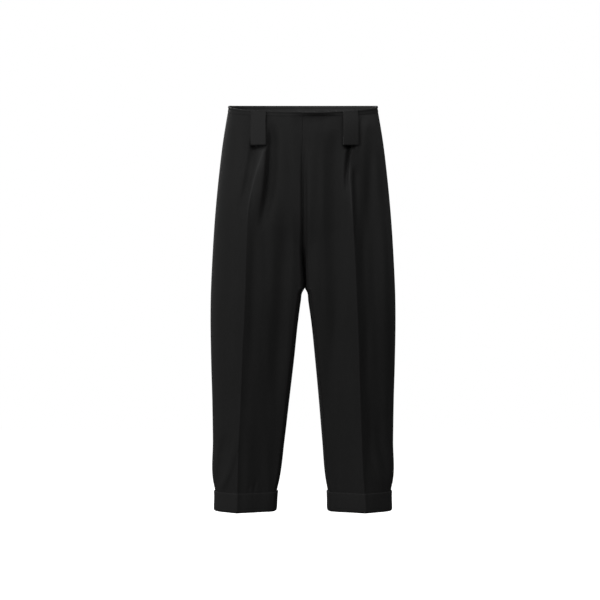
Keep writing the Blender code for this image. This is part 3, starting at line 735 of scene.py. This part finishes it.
def panel_shell(side, face):
    """One panel's outer face, and its inner face one cloth further in. Near the seams the cloth rolls in a
    little."""
    drops = panel_drops()
    reaches = panel_reaches(side, face, drops)
    outer = place(side, face, reaches, drops[:, None])
    normals = outward(outer, side * face)
    on_leg = drops >= CROTCH - 1e-9
    normals[:, 0] = (side, 0, 0)
    normals[on_leg, -1] = (-side, 0, 0)
    normals[~on_leg, -1, 0] = 0
    normals = unit(normals)
    u, v = cloth_coordinates(outer, PANEL_CELLS[0])
    bitten = BAND_BITES * (v < BAND_HEIGHT - PANEL_TOP + BITE_ENDS)
    roll = seam_roll(np.minimum(u - u[:, :1], u[:, -1:] - u)) + bitten
    # Painted highlight: the pressed attribute lightens the colour along a front crease and over a few
    # patches, and lowers the roughness there.
    fades = 1 - eased((drops - PAINTED_HIGHLIGHT_ENDS[0]) / (PAINTED_HIGHLIGHT_ENDS[1] - PAINTED_HIGHLIGHT_ENDS[0]))
    crease_highlight = crease_sets(side, face, drops) * fades * (face == FRONT)
    pressed = crease_highlight[:, None] * sum(share * np.exp(-((u / width) ** 2)) for share, width in PAINTED_CREASE_HIGHLIGHT)
    pressed = np.minimum(pressed + painted_highlight_patches(side, face, reaches, drops[:, None]), 1)
    outer -= roll[..., None] * normals
    name = f"cloth_{FACE_NAMES[face]}_{SIDE_NAMES[side]}"
    piece = shell(name, outer, outer - CLOTH * normals, u, v, pressed, BLACK, side * face)
    return piece, face_area(outer), (np.ptp(u, axis=1).max(), v[-1, 0])


for side in (RIGHT, LEFT):
    for face in (FRONT, BACK):
        node = f"{FACE_NAMES[face]}_{SIDE_NAMES[side]}"
        declare(*panel_shell(side, face), node, "hung", ["band_" + FACE_NAMES[face]])

# %% [markdown]
# ## The waistband
# The band is a strip of cloth folded double along its upper edge, with the panels sewn in between its two
# layers. The fold is what catches the light, so the section is a rounded hairpin with a slot below that
# takes the panels' edge. A short table holds the section once for the outside and once for the inside.
# Carried along the same outline as the panels, the band cannot come apart from them. Along the top the fold
# stands out as a soft roll, and below it the row of stitching draws a groove, inside and out.

# %% Waistband
# From the fold down each layer, round its lower edge and up into the slot: the drop, and the distance off
# the outline.
BAND_SECTION = table(
    "drop_out off_out drop_in off_in",
    (-0.0006, -0.0002, -0.0006, -0.0006),
    (-0.0004, 0.0005, -0.0004, -0.0011),
    (0.0002, 0.0011, 0.0002, -0.0015),
    (0.0012, 0.0013, 0.0012, -0.0017),
    (0.0026, 0.0012, 0.0026, -0.0017),
    (0.0036, 0.0006, 0.0043, -0.0017),
    (0.0044, 0.0000, 0.0052, -0.0012),
    (0.0060, 0.0003, 0.0061, -0.0017),
    (0.0100, 0.0004, 0.0100, -0.0017),
    (0.0107, 0.0003, 0.0107, -0.0016),
    (0.0110, 0.0001, 0.0110, -0.0014),
    (0.0108, -0.0001, 0.0108, -0.0012),
    (0.0080, -0.0001, 0.0080, -0.0011),
)
SLOT_ROWS = 2  # the section's last rows, which lie in the slot
PAINTED_EDGE_HIGHLIGHT = 0.0015  # how far the painted highlight along a pressed fold or edge reaches


def outline_round(face, drops):
    """The outer face from the right side seam over the front, or the back, to the left one."""
    halves = [place(side, face, panel_reaches(side, face, drops), drops[:, None]) for side in (RIGHT, LEFT)]
    return np.concatenate([halves[0], halves[1][:, -2::-1]], axis=1)


def band_shell(face):
    """The outline at the section's drops, moved off the panels by the section's distances."""
    layers = []
    for layer in ("out", "in"):
        points = outline_round(face, BAND_SECTION["drop_" + layer])
        level = outline_round(face, np.linspace(0, BAND_HEIGHT, 3))
        normals = np.broadcast_to(outward(level, -face)[1], points.shape).copy()
        normals[:, 0], normals[:, -1] = (-1, 0, 0), (1, 0, 0)
        layers.append(points + BAND_SECTION["off_" + layer][:, None, None] * normals)
    u, v = cloth_coordinates(layers[0], layers[0].shape[1] // 2)
    # Painted highlight: the colour is lightened along the band's upper fold, where light catches it.
    painted_highlight = np.exp(-np.maximum(BAND_SECTION["drop_out"], 0) / PAINTED_EDGE_HIGHLIGHT)
    pressed = np.broadcast_to(painted_highlight[:, None], u.shape)
    piece = shell("band_" + FACE_NAMES[face], *layers, u, v, pressed, DOUBLE, -face)
    shown = layers[0][:-SLOT_ROWS]
    return piece, face_area(shown), (np.ptp(u, axis=1).max(), v[-SLOT_ROWS - 1, 0])


for face in (FRONT, BACK):
    declare(*band_shell(face), "waistband_" + FACE_NAMES[face], "hung", [])

# %% [markdown]
# ## The belt loops
# Each loop is a wide strip, pressed with its raw edges inside. Its upper end is caught in the band. Its
# lower end is folded under and sewn to the front from behind, so that the strip stands off the cloth and a
# belt can pass. Seen from the side its middle line is a long hook, and the strip is that line carried
# across, thinner towards its two edges.

# %% Belt loops
LOOP_WIDTH = 0.027  # as seen from the front; the hip turns, so the cloth is wider
LOOP_HALF_CLOTH, LOOP_HALF_EDGE, LOOP_SQUARE = 0.0010, 0.00012, 6
LOOP_ROWS, LOOP_TURN_ROWS, LOOP_COLUMNS = 34, 10, 29
LOOP_START, LOOP_END, LOOP_BACK_END = 0.0004, 0.0775, 0.060
LOOP_OFF_TOP, LOOP_OFF_FRONT, LOOP_OFF_BACK = 0.0026, 0.0052, 0.0013
LOOP_LIFTS = 0.35  # the share of its length over which a loop lifts off
LOOP_PAINTED_HIGHLIGHT = {RIGHT: (0.30, 0.25), LEFT: (0.70, 0.00)}  # how much lighter and smoother it is at its upper and its lower end: a painted highlight, strongest at the top


def loop_line():
    """The hook as drops and distances off the panel: a front run that lifts off smoothly, half a turn, and
    a run up."""
    radius = (LOOP_OFF_FRONT - LOOP_OFF_BACK) / 2
    front = np.linspace(0, 1, LOOP_ROWS)
    drop = LOOP_START + front * (LOOP_END - radius - LOOP_START)
    off = LOOP_OFF_TOP + (LOOP_OFF_FRONT - LOOP_OFF_TOP) * eased(front / LOOP_LIFTS)
    turn = np.linspace(0, np.pi, LOOP_TURN_ROWS)[1:]
    back = np.linspace(LOOP_END - radius, LOOP_BACK_END, LOOP_TURN_ROWS)[1:]
    turn_off = LOOP_OFF_FRONT - radius * (1 - np.cos(turn))
    return (
        np.concatenate([drop, LOOP_END - radius + radius * np.sin(turn), back]),
        np.concatenate([off, turn_off, np.full(len(back), LOOP_OFF_BACK)]),
    )


def loop_shell(side):
    """The hook carried across the loop's width. Half its thickness is an ellipse of power 6 across it."""
    drop, off = loop_line()
    across = np.sin(np.linspace(-np.pi / 2, np.pi / 2, LOOP_COLUMNS))
    reach = crease_reach(side, FRONT, 0.0) - LOOP_WIDTH / 2 * across
    y = -hips_section(side, FRONT, reach[None, :], drop[:, None])
    z = waist_slope(y, drop[:, None]) - drop[:, None]
    base = np.stack(np.broadcast_arrays(side * reach[None, :], y, z), axis=-1)
    sideways = np.gradient(base, axis=1)
    normals = unit(np.cross(np.broadcast_to((0.0, 0.0, -1.0), base.shape), sideways) * side * FRONT)
    line = base + off[:, None, None] * normals
    along = np.gradient(line, axis=0)
    along -= (along * sideways).sum(-1, keepdims=True) * sideways / (sideways**2).sum(-1, keepdims=True)
    facing = unit(np.cross(along, sideways) * side * FRONT)
    half = np.maximum(LOOP_HALF_CLOTH * bulge(across, LOOP_SQUARE), LOOP_HALF_EDGE)[None, :, None]
    u, v = cloth_coordinates(line, len(across) // 2)
    # Painted highlight: the loop's colour is lighter towards its upper end, where light falls on it, and
    # darker below.
    upper, lower = LOOP_PAINTED_HIGHLIGHT[side]
    pressed = np.broadcast_to((upper + (lower - upper) * eased(drop / LOOP_END))[:, None], u.shape)
    offset = half * facing
    piece = shell("loop_" + SIDE_NAMES[side], line + offset, line - offset, u, v, pressed, DOUBLE, -side)
    return piece, face_area(line), (np.ptp(u, axis=1).max(), v[-1, 0])


for side in (RIGHT, LEFT):
    under = ["band_front", "cloth_front_" + SIDE_NAMES[side]]
    declare(*loop_shell(side), "belt_loop_" + SIDE_NAMES[side], "hung", under)

# %% [markdown]
# ## The turn-ups
# The hem is turned up on the outside and pressed, so there is a soft fold at the bottom and a free edge on
# top. Its section is a closed loop: up the outside, over the edge, down between cuff and leg, and round
# under the leg's raw edge. A closed section carried round a closed outline makes a ring like a long thin
# doughnut, with no ends to close.

# %% Turn-ups
TURN_UP_SECTION = table(
    "up off",  # above the hem, and off the leg's outer face
    (0.0022, 0.0003), (0.0120, 0.0004), (0.0250, 0.0004), (0.0366, 0.0005),
    (0.0370, 0.0009), (0.0370, 0.0015), (0.0366, 0.0020), (0.0357, 0.0023), (0.0335, 0.0024),
    (0.0260, 0.0025), (0.0180, 0.0025), (0.0100, 0.0025), (0.0048, 0.0024),
    (0.0022, 0.0021), (0.0008, 0.0015), (0.0001, 0.0006), (0.0001, -0.0004), (0.0007, -0.0010),
    (0.0016, -0.0011), (0.0021, -0.0006),
)
GIRTH_ROW, OUTSIDE_ROWS = 9, slice(4, 14)  # the section's row that the girth is taken at, and its outside
PRESSED_ALL_OVER, EDGE_HIGHLIGHT_SHARE = 0.22, 0.3  # a turn-up is pressed flat and a touch lighter all over, with a painted highlight along its edges


def leg_round(side, drops):
    """The outer face all round one leg: over the front from the side seam to the inseam, and back behind
    it."""
    front = place(side, FRONT, panel_reaches(side, FRONT, drops), drops[:, None])
    back = place(side, BACK, panel_reaches(side, BACK, drops), drops[:, None])
    return np.concatenate([front, back[:, -2:0:-1]], axis=1)


def turn_up_shell(side):
    """The leg's outline at each height of the section, moved off the leg by the section's second column."""
    drops = SIDE_LENGTH - TURN_UP_SECTION["up"]
    points = leg_round(side, drops)
    steady = leg_round(side, np.linspace(TURN_UP_TOP, SIDE_LENGTH, 5))
    around = np.roll(steady, -1, axis=1) - np.roll(steady, 1, axis=1)
    normals = unit(np.cross(np.gradient(steady, axis=0), around) * side * FRONT)[len(steady) // 2]
    outer = points + TURN_UP_SECTION["off"][:, None, None] * normals[None]
    rows, columns = outer.shape[:2]
    faces = grid_faces(rows, columns, wrapped=True)
    step = np.linalg.norm(np.diff(outer[:, :1], axis=0, append=outer[:1, :1]), axis=-1)
    v = np.broadcast_to(np.cumsum(step, axis=0), (rows, columns))
    girth = points[GIRTH_ROW]
    across = np.linalg.norm(np.roll(girth, -1, axis=0) - girth, axis=-1)
    u = np.broadcast_to(np.cumsum(across), (rows, columns))
    # Painted highlight: the colour is lightened along the turn-up's top edge and its fold, where light
    # catches them.
    edge = np.minimum(TURN_UP_SECTION["up"], SIDE_LENGTH - TURN_UP_TOP - TURN_UP_SECTION["up"])
    painted_highlight = np.maximum(EDGE_HIGHLIGHT_SHARE * np.exp(-edge / PAINTED_EDGE_HIGHLIGHT), PRESSED_ALL_OVER)
    pressed = np.broadcast_to(painted_highlight[:, None], (rows, columns))
    faces = faces if side == LEFT else faces[:, ::-1]
    right_side = np.zeros(rows * columns)
    piece = mesh_object("cuff_" + SIDE_NAMES[side], outer, faces, DOUBLE, u, v, pressed, right_side)
    closed = np.concatenate([outer[OUTSIDE_ROWS], outer[OUTSIDE_ROWS, :1]], axis=1)
    return piece, face_area(closed), (float(u.max()), SIDE_LENGTH - TURN_UP_TOP)


for side in (RIGHT, LEFT):
    legs = [f"cloth_{name}_{SIDE_NAMES[side]}" for name in ("front", "back")]
    declare(*turn_up_shell(side), "turn_up_" + SIDE_NAMES[side], "folded", legs)

# %% [markdown]
# ## What each piece was cut to
# Woven cloth hardly stretches, so a piece was cut as wide and as long as it measures along its own surface.
# A panel is not a rectangle: it narrows to the hem and is scooped out at the crotch, so its area is stated
# too. The measures leave out seam allowances and everything that is folded away inside.

# %% Sheets
for piece, width, length, area, held, under in cuts:
    width, length, area = (float(value) for value in (width, length, area))
    print(f"{piece.name}: {width:.3f} x {length:.3f} m, {area:.4f} square metres, {held}")

# %% [markdown]
# ## Studio
# Black cloth shows its folds only where the light comes from one side. So a large soft key stands to the
# left of the camera, with a side light beyond it. Weak lights at the camera, above it and to its right fill
# the shadows. Narrow ones further round pick out the side seams, and one behind lights the inside of the
# band and the back. The room and the floor are white to the camera alone, so that they do not wash out the
# cloth, and the floor melts into the room. A plain view transform keeps the white white.

# %% Camera
CAMERA_DISTANCE = 3.2
FRAME_WIDTH = 1.14  # what the picture spans at the side seams
AIM = Vector((-0.0057, 0.0, -0.3686))


def turn_to(piece, target):
    """Points a camera's or a light's own -Z axis at the target."""
    piece.rotation_euler = (Vector(target) - piece.location).to_track_quat("-Z", "Y").to_euler()


camera = bpy.data.cameras.new("camera")
camera.sensor_width = 36
camera.lens = camera.sensor_width * CAMERA_DISTANCE / FRAME_WIDTH
camera_object = bpy.data.objects.new("camera", camera)
bpy.context.scene.collection.objects.link(camera_object)
camera_object.location = AIM + Vector((0, -CAMERA_DISTANCE, 0))
turn_to(camera_object, AIM)
bpy.context.scene.camera = camera_object
bpy.context.scene.view_settings.view_transform = "Standard"
print(f"lens {camera.lens:.1f} mm at {CAMERA_DISTANCE} m")

# %% Lights
LIGHTS = {  # name: azimuth from the front and elevation in degrees, distance, width and height, watts
    "key": (-32, 12, 3.0, 1.3, 1.3, 36),
    "front": (0, 15, 3.0, 1.2, 1.2, 11),
    "high": (-20, 30, 3.0, 1.2, 1.2, 9),
    "above": (-15, 70, 3.0, 1.2, 1.2, 13),
    "fill": (35, 30, 3.0, 1.2, 1.2, 9),
    "fill_high": (56, 48, 3.0, 1.2, 1.2, 12),
    "side": (-78, 20, 3.0, 1.2, 1.3, 20),
    "edge_left": (118, 10, 3.0, 1.0, 1.6, 7),
    "edge_right": (-120, 10, 3.0, 1.0, 1.6, 8),
    "back": (200, 30, 3.2, 1.8, 1.4, 40),
}
for name, (azimuth, elevation, distance, width, height, watts) in LIGHTS.items():
    light = bpy.data.lights.new(name, "AREA")
    light.shape, light.size, light.size_y, light.energy = "RECTANGLE", width, height, watts
    light_object = bpy.data.objects.new(name, light)
    bpy.context.scene.collection.objects.link(light_object)
    turn, rise = math.radians(azimuth), math.radians(elevation)
    direction = Vector((math.sin(turn) * math.cos(rise), -math.cos(turn) * math.cos(rise), math.sin(rise)))
    light_object.location = AIM + distance * direction
    turn_to(light_object, AIM)

# %% World and floor
AMBIENT = 0.008
FLOOR_DROP = 1.08  # where the wearer's feet would stand, below the waist
FLOOR_HALF = 6.0


def shown_to_camera(tree, socket, others):
    """Feeds a socket with 1 for the camera's own rays, and with others for all other rays."""
    ray = tree.nodes.new("ShaderNodeLightPath")
    chooser = tree.nodes.new("ShaderNodeMapRange")
    chooser.inputs["To Min"].default_value = others
    chooser.inputs["To Max"].default_value = 1.0
    tree.links.new(ray.outputs["Is Camera Ray"], chooser.inputs["Value"])
    tree.links.new(chooser.outputs["Result"], socket)


world = bpy.data.worlds.new("studio")
bpy.context.scene.world = world
world.use_nodes = True
background = world.node_tree.nodes["Background"]
background.inputs["Color"].default_value = (1, 1, 1, 1)
shown_to_camera(world.node_tree, background.inputs["Strength"], AMBIENT)

floor_material = bpy.data.materials.new("pale_floor")
floor_material.use_nodes = True
floor_shader = floor_material.node_tree.nodes["Principled BSDF"]
floor_shader.inputs["Base Color"].default_value = (0.8, 0.8, 0.8, 1)
floor_shader.inputs["Roughness"].default_value = 0.9
floor_shader.inputs["Emission Color"].default_value = (1, 1, 1, 1)
shown_to_camera(floor_material.node_tree, floor_shader.inputs["Emission Strength"], 0.0)

floor = mesh_object(
    "floor",
    np.array([[-1, -1], [1, -1], [1, 1], [-1, 1]]) @ (FLOOR_HALF * np.eye(2, 3)) - (0, 0, FLOOR_DROP),
    np.array([[0, 1, 2, 3]]),
    floor_material,
)
floor.visible_diffuse = floor.visible_glossy = False  # seen, but it throws no light up at the cloth
